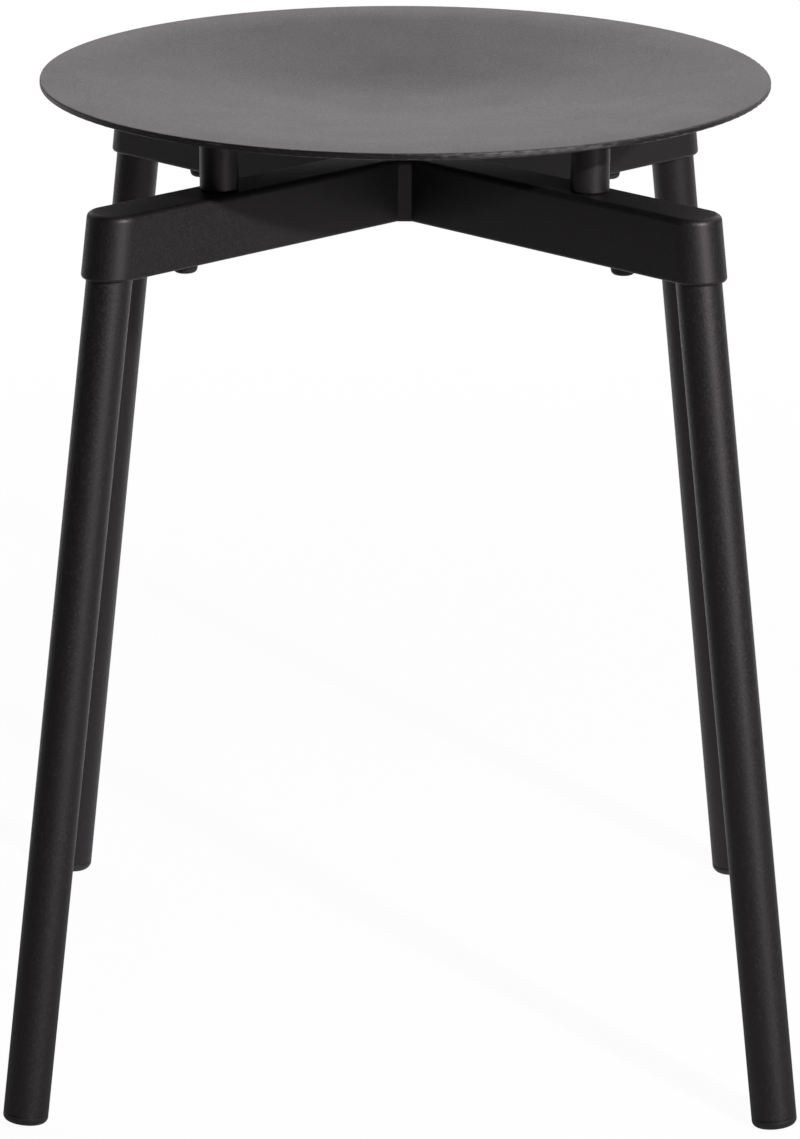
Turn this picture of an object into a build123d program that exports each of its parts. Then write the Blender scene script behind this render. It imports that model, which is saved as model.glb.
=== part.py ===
from build123d import *
import os
from math import cos, radians, sin, sqrt, tan

# Round outdoor stool: a dished sheet seat on a cast cross frame with four splayed tube legs.
# Millimetres, +Z up. The origin is on the floor under the middle of the seat, the front is -Y.

# Seat disc, pressed from flat sheet
seat_height = 460.0  # floor to the level rim
seat_diameter = 344.0
seat_thickness = 3.0
seat_edge_radius = 0.8
rim_width = 3.0  # level band outside the rim bend
rim_bend_radius = 250.0
flank_angle = 6.0  # slope of the straight flank of the dish
dish_centre_radius = 520.0

# Cross frame, one casting with four arms
seat_standoff = 33.0  # arm tops to the underside of the seat's rim
arm_height = 30.0
arm_reach = 185.7  # stool axis to a leg's axis, half way up the arm
arm_top_edge_radius = 3.0
arm_bottom_edge_radius = 1.5
hub_facet_width = 6.4  # flat across the inner corner between two arms

# Legs, straight tubes held in blind sockets in the arm ends
leg_splay = 8.45
leg_diameter = 21.0
leg_wall = 2.0
socket_wall = 2.45
socket_clearance = 0.05
socket_roof = 5.0  # least metal between a leg's end and the arm's top

# Foot glides, plastic plugs pushed into the legs
glide_height = 5.0  # floor to the leg's end, along the leg's axis
glide_edge_radius = 3.0
glide_flat_depth = 0.4  # cut off the collar's lowest side, where it stands on the floor
glide_stem_length = 20.0
glide_rib_count = 2
glide_rib_depth = 0.8
glide_clearance = 0.05
seam_chamfer = 0.3  # on the leg and on the collar, where the two meet

# Stacking bumpers, rubber studs pushed into the undersides of the arms
bumper_inset = 44.2  # leg's axis, half way up the arm, to the bumper's axis
bumper_diameter = 12.4  # against the arm
bumper_face_diameter = 10.6
bumper_height = 5.5
bumper_edge_radius = 2.2
bumper_stem_diameter = 6.0
bumper_stem_length = 8.0
bumper_hole_clearance = 0.05
bumper_hole_runout = 1.0

# Spacers, turned posts welded under the seat
spacer_offset = 21.5  # bumper's axis to the spacer's axis, inwards along the arm
spacer_diameter = 18.0
spacer_edge_chamfer = 0.8
weld_gap = 0.2

# Seat screws, socket heads on washers, sunk in the undersides of the arms
screw_diameter = 6.0
screw_reach = 15.0  # length of thread in the spacer
screw_recess = 1.4  # arm's underside to the face of the head
screw_head_overhang = 2.0
screw_head_height = 6.0
screw_head_chamfer = 0.6
screw_key_width = 5.0  # across the flats of the hexagon socket
screw_key_depth = 3.0
screw_hole_clearance = 0.3
thread_clearance = 0.05
tapped_hole_runout = 3.0
washer_overhang = 1.0
washer_thickness = 1.6
counterbore_clearance = 0.4

# Worked out from the sizes above
seat_radius = seat_diameter / 2
flank = radians(flank_angle)
splay = radians(leg_splay)
frame_top_height = seat_height - seat_thickness - seat_standoff
frame_underside_height = frame_top_height - arm_height
foot_circle_radius = arm_reach + (frame_top_height - arm_height / 2) * tan(splay)
leg_radius = leg_diameter / 2
leg_bore_radius = leg_radius - leg_wall
socket_radius = leg_radius + socket_clearance
arm_half_width = socket_radius + socket_wall
leg_end = (frame_top_height - socket_roof - socket_radius * sin(splay)) / cos(splay)
bumper_circle_radius = arm_reach - bumper_inset
spacer_circle_radius = bumper_circle_radius - spacer_offset
screw_radius = screw_diameter / 2
screw_head_radius = screw_radius + screw_head_overhang
screw_face_height = frame_underside_height + screw_recess
washer_face_height = screw_face_height + screw_head_height
washer_seat_height = washer_face_height + washer_thickness
washer_radius = screw_head_radius + washer_overhang

# Direction of each arm and leg, counted round from +X, half way between the main axes
corner_names = ["rear_right", "rear_left", "front_left", "front_right"]
corners = {name: (place + 0.5) * 360 / len(corner_names) for place, name in enumerate(corner_names)}

# The leg over +X: its own Z runs up the leg from the floor, and its own X points outwards
leg_plane = Plane(
    origin=(foot_circle_radius, 0, 0),
    x_dir=(cos(splay), 0, sin(splay)),
    z_dir=(-sin(splay), 0, cos(splay)),
)


def upright_bar(centre_radius, radius, bottom, top):
    """Upright round bar over +X between two heights."""
    centre = Pos(centre_radius, 0, (bottom + top) / 2)
    return centre * Cylinder(radius, top - bottom)


def leg_bar(radius, start, end):
    """Round bar on the axis of the leg over +X, between two distances from the floor."""
    return leg_plane * upright_bar(0, radius, start, end)


def rings(shape):
    """Round edges of a solid, the lowest first."""
    return shape.edges().filter_by(GeomType.CIRCLE).sort_by(Axis.Z)


def leg_axis_radius(height):
    """Distance of a leg's axis from the stool's axis, at a height above the floor."""
    return foot_circle_radius - height * tan(splay)


def dish_line(depth):
    """Section line of the seat from its middle to its edge, at a depth under its top face."""
    bend_outer = seat_radius - rim_width
    bend_inner = bend_outer - rim_bend_radius * sin(flank)
    bend_inner_height = seat_height - rim_bend_radius * (1 - cos(flank))
    centre_outer = dish_centre_radius * sin(flank)
    centre_outer_height = bend_inner_height - (bend_inner - centre_outer) * tan(flank)
    centre_height = centre_outer_height - dish_centre_radius * (1 - cos(flank))
    outwards, down = depth * sin(flank), depth * cos(flank)

    middle = (0, 0, centre_height - depth)
    flank_start = (centre_outer + outwards, 0, centre_outer_height - down)
    flank_end = (bend_inner + outwards, 0, bend_inner_height - down)
    rim_start = (bend_outer, 0, seat_height - depth)
    rim_end = (seat_radius, 0, seat_height - depth)
    return [
        TangentArc(middle, flank_start, tangent=(1, 0, 0)),
        Line(flank_start, flank_end),
        TangentArc(flank_end, rim_start, tangent=(cos(flank), 0, sin(flank))),
        Line(rim_start, rim_end),
    ]


def turned(lower_line, upper_line):
    """Solid of revolution between two section lines that run outwards from the stool's axis."""
    axis_line = Line(lower_line[0] @ 0, upper_line[0] @ 0)
    outer_line = Line(lower_line[-1] @ 1, upper_line[-1] @ 1)
    return revolve(make_face([*lower_line, outer_line, *upper_line, axis_line]), Axis.Z)


def make_seat_disc():
    """Pressed sheet of even thickness: rounded middle, straight flank, soft bend, level rim."""
    disc = turned(dish_line(seat_thickness), dish_line(0))
    rim_edges = rings(disc).filter_by(lambda ring: ring.radius > seat_radius - rim_width / 2)
    return fillet(rim_edges, min(seat_edge_radius, 0.45 * seat_thickness))


def make_cross_frame():
    """Casting with level arms, whose full-round ends lean with the legs and take them in."""
    arm_side = Polyline(
        (0, 0, frame_underside_height),
        (leg_axis_radius(frame_underside_height), 0, frame_underside_height),
        (leg_axis_radius(frame_top_height), 0, frame_top_height),
        (0, 0, frame_top_height),
        close=True,
    )
    arm = extrude(make_face(arm_side), arm_half_width, both=True)
    frame_layer = upright_bar(0, 2 * arm_reach, frame_underside_height, frame_top_height)
    arm += leg_bar(arm_half_width, glide_height, leg_end + arm_height) & frame_layer

    frame = Part() + [Rot(0, 0, angle) * arm for angle in corners.values()]
    frame = chamfer(frame.edges().filter_by(Axis.Z), hub_facet_width / sqrt(2))
    top_outline = frame.faces().sort_by(Axis.Z)[-1].edges()
    frame = fillet(top_outline, arm_top_edge_radius)
    bottom_outline = frame.faces().sort_by(Axis.Z)[0].edges()
    frame = fillet(bottom_outline, min(arm_bottom_edge_radius, 0.8 * socket_wall))

    screw_hole_radius = screw_radius + screw_hole_clearance
    counterbore_radius = washer_radius + counterbore_clearance
    stem_hole_radius = bumper_stem_diameter / 2 + bumper_hole_clearance
    stem_hole_top = frame_underside_height + bumper_stem_length + bumper_hole_runout
    bores = [
        leg_bar(socket_radius, glide_height, leg_end),
        upright_bar(spacer_circle_radius, screw_hole_radius, frame_underside_height, frame_top_height),
        upright_bar(spacer_circle_radius, counterbore_radius, frame_underside_height, washer_seat_height),
        upright_bar(bumper_circle_radius, stem_hole_radius, frame_underside_height, stem_hole_top),
    ]
    return frame - [Rot(0, 0, angle) * bore for angle in corners.values() for bore in bores]


def make_leg():
    """Straight tube, cut square at both ends, with a fine chamfer above the glide."""
    bar = leg_bar(leg_radius, glide_height, leg_end)
    bar = chamfer(rings(bar)[0], seam_chamfer)
    return bar - leg_bar(leg_bore_radius, glide_height, leg_end)


def make_foot_glide():
    """Plug square to the leg: a rounded collar, flat where it stands, on a ribbed stem."""
    edge_radius = min(glide_edge_radius, 0.6 * glide_height)
    lowest_rise = edge_radius + (leg_radius - edge_radius) * sin(splay)
    collar_start = (lowest_rise - glide_flat_depth) / cos(splay) - edge_radius
    collar = leg_bar(leg_radius, collar_start, glide_height)
    collar = chamfer(rings(collar)[-1], seam_chamfer)
    collar = fillet(rings(collar)[0], edge_radius)
    collar = split(collar, Plane.XY, keep=Keep.TOP)

    rib_radius = leg_bore_radius - glide_clearance
    core_radius = rib_radius - glide_rib_depth
    rib_pitch = glide_stem_length / glide_rib_count
    stem_side = [(0, 0, 0)]
    for rib in range(glide_rib_count):
        stem_side += [(rib_radius, 0, rib * rib_pitch), (core_radius, 0, (rib + 1) * rib_pitch)]
    stem_side += [(0, 0, glide_stem_length)]
    stem = revolve(make_face(Polyline(*stem_side, close=True)), Axis.Z)
    return collar + leg_plane * Pos(0, 0, glide_height) * stem


def make_bumper():
    """Tapered stud with a rounded face below the arm and a plain stem pushed up into it."""
    face_radius = bumper_face_diameter / 2
    stem_radius = bumper_stem_diameter / 2
    stud_side = Polyline(
        (0, 0, -bumper_height),
        (face_radius, 0, -bumper_height),
        (bumper_diameter / 2, 0, 0),
        (stem_radius, 0, 0),
        (stem_radius, 0, bumper_stem_length),
        (0, 0, bumper_stem_length),
        close=True,
    )
    stud = revolve(make_face(stud_side), Axis.Z)
    stud = fillet(rings(stud)[0], min(bumper_edge_radius, 0.6 * bumper_height, 0.6 * face_radius))
    return Pos(bumper_circle_radius, 0, frame_underside_height) * stud


def make_spacer():
    """Round post whose top follows the slope of the seat, tapped from below for the screw."""
    post = upright_bar(spacer_circle_radius, spacer_diameter / 2, frame_top_height, seat_height)
    post = chamfer(rings(post)[0], spacer_edge_chamfer)
    seat_level = Line((0, 0, seat_height), (seat_radius, 0, seat_height))
    post -= turned(dish_line(seat_thickness + weld_gap), [seat_level])
    hole_top = frame_top_height + screw_reach + tapped_hole_runout
    return post - upright_bar(spacer_circle_radius, screw_radius + thread_clearance, frame_top_height, hole_top)


def make_screw():
    """Cap screw with a hexagon socket, driven up through the arm into the spacer."""
    head = upright_bar(spacer_circle_radius, screw_head_radius, screw_face_height, washer_face_height)
    head = chamfer(rings(head)[0], screw_head_chamfer)
    key_outline = RegularPolygon(screw_key_width / 2, 6, major_radius=False)
    head -= Pos(spacer_circle_radius, 0, screw_face_height) * extrude(key_outline, screw_key_depth)
    shank_top = frame_top_height + screw_reach
    return head + upright_bar(spacer_circle_radius, screw_radius, washer_face_height, shank_top)


def make_washer():
    """Flat ring between the screw's head and the floor of the counterbore."""
    disc = upright_bar(spacer_circle_radius, washer_radius, washer_face_height, washer_seat_height)
    hole_radius = screw_radius + screw_hole_clearance
    return disc - upright_bar(spacer_circle_radius, hole_radius, washer_face_height, washer_seat_height)


os.makedirs("parts", exist_ok=True)
export_step(make_seat_disc(), "parts/seat_disc.step")
export_step(make_cross_frame(), "parts/cross_frame.step")
fittings = {
    "leg": make_leg(),
    "foot_glide": make_foot_glide(),
    "stack_bumper": make_bumper(),
    "seat_spacer": make_spacer(),
    "seat_screw": make_screw(),
    "seat_washer": make_washer(),
}
for fitting, shape in fittings.items():
    for corner, angle in corners.items():
        export_step(Rot(0, 0, angle) * shape, f"parts/{fitting}_{corner}.step")
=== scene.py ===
import math

import bmesh
import bpy
from mathutils import Matrix, Vector


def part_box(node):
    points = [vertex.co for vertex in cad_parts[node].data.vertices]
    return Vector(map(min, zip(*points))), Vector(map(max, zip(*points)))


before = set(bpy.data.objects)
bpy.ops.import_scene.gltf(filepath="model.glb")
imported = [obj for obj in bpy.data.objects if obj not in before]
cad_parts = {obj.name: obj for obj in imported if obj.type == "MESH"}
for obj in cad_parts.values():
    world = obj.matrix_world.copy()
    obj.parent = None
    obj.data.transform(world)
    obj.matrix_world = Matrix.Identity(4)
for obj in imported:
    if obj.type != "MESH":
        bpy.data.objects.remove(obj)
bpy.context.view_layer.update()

# Seat disc
# One round of 3 mm aluminium sheet with a plain cut edge, pressed to a shallow dish and powder coated black.
# The coat on its upper edge is thin and has rubbed pale in specks, which are partly painted glints.
# Along a hand's width at the front right the edge is painted paler still. This is a painted highlight in
# place of the key lamp's light, which is kept off the seat.
seat_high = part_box("seat_disc")[1]
seat_radius = seat_high[0]
seat_top = seat_high[2]
seat_edge_radius = 0.0008
pale_band_starts = seat_radius - seat_edge_radius
pale_band_full = seat_radius - 0.6 * seat_edge_radius
pale_band_depth = 0.003
pale_band_bottom = seat_top - pale_band_depth
pale_band_top = seat_top - 0.25 * pale_band_depth
# Painted highlight: the edge is painted paler around this direction at the front right, where the key lamp
# would light it.
painted_highlight_middle = math.radians(-70)
painted_highlight_reach = math.radians(17)
painted_highlight_amount = 0.3
worn_and_highlight_colour = "#605e60"
speck_mm = 1.1
speck_length_mm = 4.0
speck_low, speck_high = 0.58, 0.94


def linear(hex_colour):
    """An sRGB hex colour as linear red, green, blue and alpha."""
    channels = [int(hex_colour[start:start + 2], 16) / 255 for start in (1, 3, 5)]
    return [c / 12.92 if c <= 0.04045 else ((c + 0.055) / 1.055) ** 2.4 for c in channels] + [1.0]


def add_node(tree, kind, settings=None, values=None, links=None):
    """One shader node, with its settings, its socket values and the sockets that feed it."""
    node = tree.nodes.new(kind)
    for name, value in (settings or {}).items():
        setattr(node, name, value)
    for socket, value in (values or {}).items():
        node.inputs[socket].default_value = value
    for socket, source in (links or {}).items():
        tree.links.new(source, node.inputs[socket])
    return node


def new_material(name):
    """An empty node material, its tree, its output node and its Object coordinates."""
    material = bpy.data.materials.new(name)
    material.use_nodes = True
    tree = material.node_tree
    tree.nodes.clear()
    output = add_node(tree, "ShaderNodeOutputMaterial")
    return material, tree, output, add_node(tree, "ShaderNodeTexCoord").outputs["Object"]


def fine_texture_powder_coat(name, grain_mm, grain_depth_mm, tip_colour):
    """Polyester powder baked to a sandy skin: near black, matt, bright at low angles, its tips paler from
    wear and painted glints.

    The real grain is about a third of a millimetre. It is drawn two to four times as coarse, to show.
    """
    skin_colour = "#0f0e0f"
    reflection_tint = "#fff5fb"
    polyester_ior = 1.5
    tip_low, tip_high = 0.55, 0.78
    hollow, crest = 0.3, 0.7
    matt_low, matt_high = 0.38, 0.54
    spray_mm = 28
    spray_matt = 0.06
    grain_bump = 0.8
    material, tree, output, place = new_material(name)
    grain = add_node(tree, "ShaderNodeTexNoise",
                     values={"Scale": 1000 / grain_mm, "Detail": 2.0, "Roughness": 0.6},
                     links={"Vector": place})
    spray = add_node(tree, "ShaderNodeTexNoise", values={"Scale": 1000 / spray_mm, "Detail": 2.0},
                     links={"Vector": place})
    # The tips of the grain are painted paler. This is partly wear and partly painted glints where the tips
    # would catch the light.
    tips = add_node(tree, "ShaderNodeMapRange", values={"From Min": tip_low, "From Max": tip_high},
                    links={"Value": grain.outputs["Fac"]})
    shade = add_node(tree, "ShaderNodeMix", {"data_type": "RGBA"},
                     {6: linear(skin_colour), 7: linear(tip_colour)}, {0: tips.outputs[0]})
    grain_matt = add_node(tree, "ShaderNodeMapRange",
                          values={"From Min": hollow, "From Max": crest,
                                  "To Min": matt_low, "To Max": matt_high},
                          links={"Value": grain.outputs["Fac"]})
    matt = add_node(tree, "ShaderNodeMath", {"operation": "MULTIPLY_ADD"}, {1: spray_matt},
                    {0: spray.outputs["Fac"], 2: grain_matt.outputs[0]})
    skin = add_node(tree, "ShaderNodeBump",
                    values={"Strength": grain_bump, "Distance": grain_depth_mm / 1000},
                    links={"Height": grain.outputs["Fac"]})
    coat = add_node(tree, "ShaderNodeBsdfPrincipled",
                    values={"IOR": polyester_ior, "Specular Tint": linear(reflection_tint)},
                    links={"Base Color": shade.outputs[2], "Roughness": matt.outputs[0],
                           "Normal": skin.outputs["Normal"]})
    tree.links.new(coat.outputs["BSDF"], output.inputs["Surface"])
    return material, tree, place, coat


def dress(material, *names):
    """Give CAD nodes their finish."""
    for name in names:
        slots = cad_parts[name].data.materials
        slots.clear()
        slots.append(material)


seat_coat, tree, place, coat = fine_texture_powder_coat(
    "fine_texture_powder_coat_on_sheet", grain_mm=0.8, grain_depth_mm=0.08, tip_colour="#232223")
flat = add_node(tree, "ShaderNodeVectorMath", {"operation": "MULTIPLY"}, {1: (1, 1, 0)}, {0: place})
reach = add_node(tree, "ShaderNodeVectorMath", {"operation": "LENGTH"}, links={0: flat.outputs[0]})
outer = add_node(tree, "ShaderNodeMapRange", values={"From Min": pale_band_starts, "From Max": pale_band_full},
                 links={"Value": reach.outputs["Value"]})
axes = add_node(tree, "ShaderNodeSeparateXYZ", links={"Vector": place})
upper = add_node(tree, "ShaderNodeMapRange", values={"From Min": pale_band_bottom, "From Max": pale_band_top},
                 links={"Value": axes.outputs["Z"]})
edge = add_node(tree, "ShaderNodeMath", {"operation": "MULTIPLY"},
                links={0: outer.outputs[0], 1: upper.outputs[0]})
drawn_out = speck_mm / speck_length_mm
along = add_node(tree, "ShaderNodeMapping", values={"Scale": (drawn_out, drawn_out, 1)},
                 links={"Vector": place})
specks = add_node(tree, "ShaderNodeTexNoise", values={"Scale": 1000 / speck_mm, "Detail": 1.0},
                  links={"Vector": along.outputs[0]})
# Painted highlight: a zone of the edge at the front right is painted paler, in place of the key lamp's light
# on the rim.
toward_painted_highlight = add_node(tree, "ShaderNodeVectorMath", {"operation": "DOT_PRODUCT"},
                      {1: (math.cos(painted_highlight_middle), math.sin(painted_highlight_middle), 0)}, {0: place})
painted_highlight_zone = add_node(tree, "ShaderNodeMapRange", {"interpolation_type": "SMOOTHSTEP"},
                   {"From Min": math.cos(painted_highlight_reach) * seat_radius,
                    "From Max": math.cos(0.6 * painted_highlight_reach) * seat_radius},
                   {"Value": toward_painted_highlight.outputs["Value"]})
wear_and_highlight = add_node(tree, "ShaderNodeMath", {"operation": "MULTIPLY_ADD"}, {1: painted_highlight_amount},
               {0: painted_highlight_zone.outputs[0], 2: specks.outputs["Fac"]})
# Pale specks on the edge: partly the thin coat rubbed pale, partly painted glints.
pale_specks = add_node(tree, "ShaderNodeMapRange", values={"From Min": speck_low, "From Max": speck_high},
                links={"Value": wear_and_highlight.outputs[0]})
pale_edge = add_node(tree, "ShaderNodeMath", {"operation": "MULTIPLY"},
                links={0: edge.outputs[0], 1: pale_specks.outputs[0]})
# The edge's colour goes toward the pale colour. This is partly wear in specks and partly a painted
# highlight.
coat_colour = coat.inputs["Base Color"].links[0].from_socket
rim_colour = add_node(tree, "ShaderNodeMix", {"data_type": "RGBA"}, {7: linear(worn_and_highlight_colour)},
                      {0: pale_edge.outputs[0], 6: coat_colour})
tree.links.new(rim_colour.outputs[2], coat.inputs["Base Color"])
dress(seat_coat, "seat_disc")

# Cross frame
# One aluminium casting with four level arms, whose round ends lean with the legs and hold them.
# It has the same black powder coat as the seat, a little coarser over the skin of a casting.
cast_coat = fine_texture_powder_coat(
    "fine_texture_powder_coat_on_casting", grain_mm=0.9, grain_depth_mm=0.06, tip_colour="#242324")[0]
dress(cast_coat, "cross_frame")

# Seat spacers
# Four turned aluminium posts, welded under the seat and bolted down on the arms.
# They are coated together with the seat.
corners = ["front_left", "front_right", "rear_left", "rear_right"]
post_coat = fine_texture_powder_coat(
    "fine_texture_powder_coat_on_posts", grain_mm=0.8, grain_depth_mm=0.06, tip_colour="#232223")[0]
dress(post_coat, *[f"seat_spacer_{corner}" for corner in corners])

# Seat screws and washers
# Stainless cap screws on plain washers, sunk in the undersides of the arms.
# They are left bare, with the fine scuffs of tumbling and of the key, drawn coarse enough to show.
steel_dark, steel_pale = "#a19f9b", "#c4c2be"
steel_matt_low, steel_matt_high = 0.24, 0.42
scuff_mm = 0.8
stainless, tree, output, place = new_material("tumbled_stainless_steel")
scuff = add_node(tree, "ShaderNodeTexNoise", values={"Scale": 1000 / scuff_mm, "Detail": 3.0},
                 links={"Vector": place})
sheen = add_node(tree, "ShaderNodeMapRange", values={"To Min": steel_matt_low, "To Max": steel_matt_high},
                 links={"Value": scuff.outputs["Fac"]})
tone = add_node(tree, "ShaderNodeMix", {"data_type": "RGBA"},
                {6: linear(steel_dark), 7: linear(steel_pale)}, {0: scuff.outputs["Fac"]})
steel = add_node(tree, "ShaderNodeBsdfPrincipled", values={"Metallic": 1.0},
                 links={"Base Color": tone.outputs[2], "Roughness": sheen.outputs[0]})
tree.links.new(steel.outputs["BSDF"], output.inputs["Surface"])
dress(stainless, *[f"seat_{piece}_{corner}" for piece in ("screw", "washer") for corner in corners])

# Legs
# Four straight aluminium tubes, bonded into the blind sockets of the arm ends.
# They have the same coat as the frame, and its grain shows most in the streaks of light along a tube.
tube_coat = fine_texture_powder_coat(
    "fine_texture_powder_coat_on_tube", grain_mm=1.3, grain_depth_mm=0.12, tip_colour="#232223")[0]
dress(tube_coat, *[f"leg_{corner}" for corner in corners])

# Foot glides
# Four plugs of black polyethylene, moulded with a rounded lower edge and pushed into the tube ends.
# The mould's spark texture, drawn coarse enough to show, leaves them satin. The floor has scuffed them.
moulded_colour, scuffed_colour = "#131213", "#2d2c2c"
moulded_matt_low, moulded_matt_high = 0.42, 0.56
polyethylene_ior = 1.51
spark_mm = 0.9
spark_depth_mm = 0.04
spark_bump = 0.4
scuff_height = 0.0036
scuff_low, scuff_high = 0.3, 0.6
polyethylene, tree, output, place = new_material("moulded_black_polyethylene")
spark = add_node(tree, "ShaderNodeTexNoise", values={"Scale": 1000 / spark_mm, "Detail": 2.0},
                 links={"Vector": place})
axes = add_node(tree, "ShaderNodeSeparateXYZ", links={"Vector": place})
foot = add_node(tree, "ShaderNodeMapRange",
                values={"From Min": scuff_height, "From Max": 0.6 * scuff_height},
                links={"Value": axes.outputs["Z"]})
rubbed = add_node(tree, "ShaderNodeMapRange", values={"From Min": scuff_low, "From Max": scuff_high},
                  links={"Value": spark.outputs["Fac"]})
scuffed = add_node(tree, "ShaderNodeMath", {"operation": "MULTIPLY"},
                   links={0: foot.outputs[0], 1: rubbed.outputs[0]})
tone = add_node(tree, "ShaderNodeMix", {"data_type": "RGBA"},
                {6: linear(moulded_colour), 7: linear(scuffed_colour)}, {0: scuffed.outputs[0]})
sheen = add_node(tree, "ShaderNodeMapRange",
                 values={"To Min": moulded_matt_low, "To Max": moulded_matt_high},
                 links={"Value": spark.outputs["Fac"]})
skin = add_node(tree, "ShaderNodeBump", values={"Strength": spark_bump, "Distance": spark_depth_mm / 1000},
                links={"Height": spark.outputs["Fac"]})
plastic = add_node(tree, "ShaderNodeBsdfPrincipled", values={"IOR": polyethylene_ior},
                   links={"Base Color": tone.outputs[2], "Roughness": sheen.outputs[0],
                          "Normal": skin.outputs["Normal"]})
tree.links.new(plastic.outputs["BSDF"], output.inputs["Surface"])
dress(polyethylene, *[f"foot_glide_{corner}" for corner in corners])

# Stacking bumpers
# Four black rubber studs, pushed into the undersides of the arms to stand between stacked stools.
# Moulded rubber is dull, with a faint grey bloom in patches.
rubber_colour, bloom_colour = "#0e0e0e", "#201f1f"
rubber_matt_low, rubber_matt_high = 0.55, 0.75
rubber_ior = 1.52
bloom_mm = 3.0
bloom_depth_mm = 0.1
bloom_bump = 0.3
rubber, tree, output, place = new_material("moulded_black_rubber")
bloom = add_node(tree, "ShaderNodeTexNoise", values={"Scale": 1000 / bloom_mm, "Detail": 4.0},
                 links={"Vector": place})
tone = add_node(tree, "ShaderNodeMix", {"data_type": "RGBA"},
                {6: linear(rubber_colour), 7: linear(bloom_colour)}, {0: bloom.outputs["Fac"]})
sheen = add_node(tree, "ShaderNodeMapRange", values={"To Min": rubber_matt_low, "To Max": rubber_matt_high},
                 links={"Value": bloom.outputs["Fac"]})
skin = add_node(tree, "ShaderNodeBump", values={"Strength": bloom_bump, "Distance": bloom_depth_mm / 1000},
                links={"Height": bloom.outputs["Fac"]})
stud = add_node(tree, "ShaderNodeBsdfPrincipled", values={"IOR": rubber_ior},
                links={"Base Color": tone.outputs[2], "Roughness": sheen.outputs[0],
                       "Normal": skin.outputs["Normal"]})
tree.links.new(stud.outputs["BSDF"], output.inputs["Surface"])
dress(rubber, *[f"stack_bumper_{corner}" for corner in corners])

# Studio floor
# White paper. Seen from above it is white, with a faint shadow of the stool, and from below it is clear.
# The coat mirrors it white in a wedge that widens behind the stool, and grey in the dark of the studio.
paper_white, paper_grey = "#ffffff", "#b0b0b0"
floor_radius = 12
floor_sides = 64
wedge_slope = 0.35
wedge_starts, wedge_full = -0.2, 0.4
shadow_near, shadow_far = 0.4, 1.6
glow_near, glow_far = 0.96, 1.0
floor_mesh = bmesh.new()
bmesh.ops.create_circle(floor_mesh, cap_ends=True, segments=floor_sides, radius=floor_radius)
floor_data = bpy.data.meshes.new("studio_floor")
floor_mesh.to_mesh(floor_data)
floor_mesh.free()
floor = bpy.data.objects.new("studio_floor", floor_data)
bpy.context.scene.collection.objects.link(floor)
paper, tree, output, place = new_material("white_studio_paper")
axes = add_node(tree, "ShaderNodeSeparateXYZ", links={"Vector": place})
aside = add_node(tree, "ShaderNodeMath", {"operation": "ABSOLUTE"}, links={0: axes.outputs["X"]})
wedge = add_node(tree, "ShaderNodeMath", {"operation": "MULTIPLY_ADD"}, {1: -wedge_slope},
                 {0: aside.outputs[0], 2: axes.outputs["Y"]})
behind = add_node(tree, "ShaderNodeMapRange", {"interpolation_type": "SMOOTHSTEP"},
                  {"From Min": wedge_starts, "From Max": wedge_full}, {"Value": wedge.outputs[0]})
path = add_node(tree, "ShaderNodeLightPath")
mirrored = add_node(tree, "ShaderNodeMath", {"operation": "MULTIPLY"},
                    links={0: path.outputs["Is Glossy Ray"], 1: behind.outputs[0]})
direct = add_node(tree, "ShaderNodeMath", {"operation": "MAXIMUM"},
                  links={0: path.outputs["Is Camera Ray"], 1: path.outputs["Is Transmission Ray"]})
seen = add_node(tree, "ShaderNodeMath", {"operation": "MAXIMUM"},
                links={0: direct.outputs[0], 1: mirrored.outputs[0]})
away = add_node(tree, "ShaderNodeVectorMath", {"operation": "LENGTH"}, links={0: place})
faded = add_node(tree, "ShaderNodeMapRange", {"interpolation_type": "SMOOTHSTEP"},
                 {"From Min": shadow_near, "From Max": shadow_far, "To Min": glow_near, "To Max": glow_far},
                 {"Value": away.outputs["Value"]})
share = add_node(tree, "ShaderNodeMath", {"operation": "MULTIPLY"},
                 links={0: seen.outputs[0], 1: faded.outputs[0]})
tone = add_node(tree, "ShaderNodeMix", {"data_type": "RGBA"},
                {6: linear(paper_grey), 7: linear(paper_white)}, {0: path.outputs["Is Camera Ray"]})
matt = add_node(tree, "ShaderNodeBsdfDiffuse", links={"Color": tone.outputs[2]})
glow = add_node(tree, "ShaderNodeEmission", values={"Color": linear(paper_white), "Strength": 1.0})
face = add_node(tree, "ShaderNodeMixShader",
                links={0: share.outputs[0], 1: matt.outputs[0], 2: glow.outputs[0]})
underside = add_node(tree, "ShaderNodeNewGeometry").outputs["Backfacing"]
clear = add_node(tree, "ShaderNodeBsdfTransparent")
sheet = add_node(tree, "ShaderNodeMixShader", links={0: underside, 1: face.outputs[0], 2: clear.outputs[0]})
tree.links.new(sheet.outputs[0], output.inputs["Surface"])
floor_data.materials.append(paper)

# Studio backdrop
# A white wall behind the stool, which starts a little above the floor. The camera sees white all round.
# As a light the wall is a very little warm, and the front of the studio is dark.
warm_white, plain_white = "#fffbfb", "#ffffff"
wall_starts, wall_full = 0.1, 0.9
wall_foot, wall_clear = 0.075, 0.225
world = bpy.data.worlds.new("studio_backdrop")
bpy.context.scene.world = world
world.use_nodes = True
tree = world.node_tree
tree.nodes.clear()
way = add_node(tree, "ShaderNodeTexCoord").outputs["Generated"]
axes = add_node(tree, "ShaderNodeSeparateXYZ", links={"Vector": way})
rear = add_node(tree, "ShaderNodeMapRange", {"interpolation_type": "SMOOTHSTEP"},
                {"From Min": wall_starts, "From Max": wall_full}, {"Value": axes.outputs["Y"]})
raised = add_node(tree, "ShaderNodeMapRange", {"interpolation_type": "SMOOTHSTEP"},
                  {"From Min": wall_foot, "From Max": wall_clear}, {"Value": axes.outputs["Z"]})
wall = add_node(tree, "ShaderNodeMath", {"operation": "MULTIPLY"},
                links={0: rear.outputs[0], 1: raised.outputs[0]})
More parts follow.
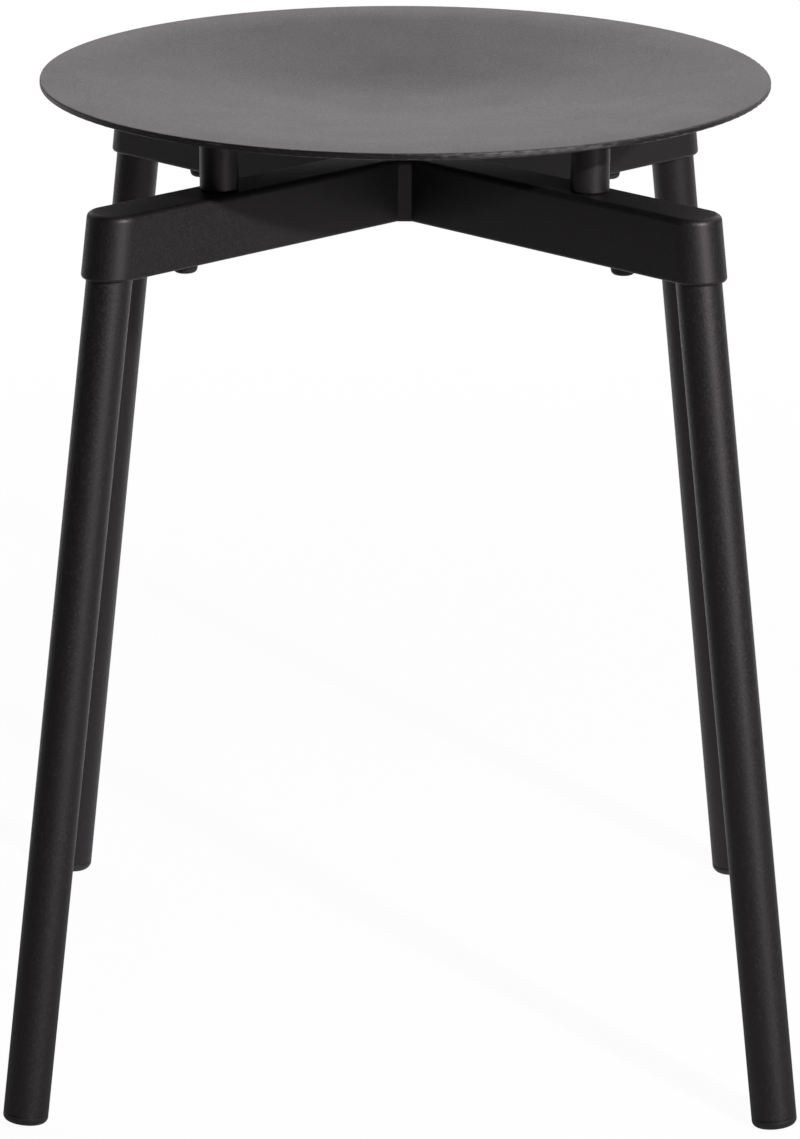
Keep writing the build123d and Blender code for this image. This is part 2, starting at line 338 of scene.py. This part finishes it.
path = add_node(tree, "ShaderNodeLightPath")
direct = add_node(tree, "ShaderNodeMath", {"operation": "MAXIMUM"},
                  links={0: path.outputs["Is Camera Ray"], 1: path.outputs["Is Transmission Ray"]})
level = add_node(tree, "ShaderNodeMath", {"operation": "MAXIMUM"},
                 links={0: direct.outputs[0], 1: wall.outputs[0]})
tint = add_node(tree, "ShaderNodeMix", {"data_type": "RGBA"},
                {6: linear(warm_white), 7: linear(plain_white)}, {0: path.outputs["Is Camera Ray"]})
sky = add_node(tree, "ShaderNodeBackground",
               links={"Color": tint.outputs[2], "Strength": level.outputs[0]})
output = add_node(tree, "ShaderNodeOutputWorld")
tree.links.new(sky.outputs[0], output.inputs["Surface"])

# Lamps
# A small key lamp and a tall strip at the front right give the sharp shadows and the streaks on the legs.
# A strip low behind, a softbox high at the right and a weak strip at the left light the seat and the sides.
# The key lamp would glare on the seat, so it is kept off it, and three weak lamps light its rim and dish.
stool_middle = Vector((0, 0, 0.3))


def panel_lamp(name, azimuth, elevation, distance, width, height, watts,
               colour=plain_white, seat_link=None):
    """A lamp panel that faces the stool, placed by its angle round from +X and its angle up.

    A seat_link of EXCLUDE keeps it off the seat, and INCLUDE keeps it off all the rest.
    """
    lamp = bpy.data.lights.new(name, "AREA")
    lamp.shape = "RECTANGLE"
    lamp.size = width
    lamp.size_y = height
    lamp.energy = watts
    lamp.color = linear(colour)[:3]
    panel = bpy.data.objects.new(name, lamp)
    turn, rise = math.radians(azimuth), math.radians(elevation)
    way = Vector((math.cos(rise) * math.cos(turn), math.cos(rise) * math.sin(turn), math.sin(rise)))
    panel.location = stool_middle + distance * way
    panel.rotation_euler = way.to_track_quat("Z", "Y").to_euler()
    panel.visible_camera = False
    bpy.context.scene.collection.objects.link(panel)
    if seat_link:
        cards = bpy.data.collections.new(name + "_cards")
        cards.objects.link(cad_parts["seat_disc"])
        cards.collection_objects[0].light_linking.link_state = seat_link
        panel.light_linking.receiver_collection = cards


panel_lamp("key_lamp", azimuth=-56, elevation=26.2, distance=2.5, width=0.08, height=0.08, watts=57,
           seat_link="EXCLUDE")
panel_lamp("key_strip", azimuth=-52, elevation=10, distance=2.5, width=0.2, height=1.4, watts=10)
panel_lamp("rear_strip", azimuth=88, elevation=15, distance=3.0, width=3.0, height=0.4, watts=10,
           colour=warm_white)
panel_lamp("high_softbox", azimuth=20, elevation=48, distance=2.2, width=2.2, height=1.6, watts=7)
panel_lamp("left_strip", azimuth=172, elevation=14, distance=3.0, width=2.4, height=0.4, watts=2)
panel_lamp("seat_strip", azimuth=-135, elevation=14, distance=3.0, width=2.4, height=0.4, watts=3,
           seat_link="INCLUDE")
panel_lamp("low_rim_lamp", azimuth=-52, elevation=2, distance=2.5, width=0.1, height=0.1, watts=12,
           seat_link="INCLUDE")
panel_lamp("high_rim_lamp", azimuth=-45, elevation=60, distance=2.5, width=0.1, height=0.1, watts=25,
           seat_link="INCLUDE")

# Camera
# A long lens about a metre above the floor, which looks down a little at the stool's front.
# Its angles are the turn to the left, the tilt down and the roll, in degrees.
camera_place = (0.00243, -2.51018, 0.97622)
camera_turn, camera_tilt, camera_roll = 0.088, 16.836, 0.269
sensor_width_mm = 36.0
focal_length_mm = 171.25
sight_limit = 100
lens = bpy.data.cameras.new("camera")
lens.sensor_width = sensor_width_mm
lens.lens = focal_length_mm
lens.clip_end = sight_limit
camera = bpy.data.objects.new("camera", lens)
bpy.context.scene.collection.objects.link(camera)
camera.matrix_world = (Matrix.Translation(camera_place)
                       @ Matrix.Rotation(math.radians(camera_turn), 4, "Z")
                       @ Matrix.Rotation(math.radians(90 - camera_tilt), 4, "X")
                       @ Matrix.Rotation(math.radians(camera_roll), 4, "Z"))
bpy.context.scene.camera = camera
bpy.context.scene.view_settings.view_transform = "Standard"
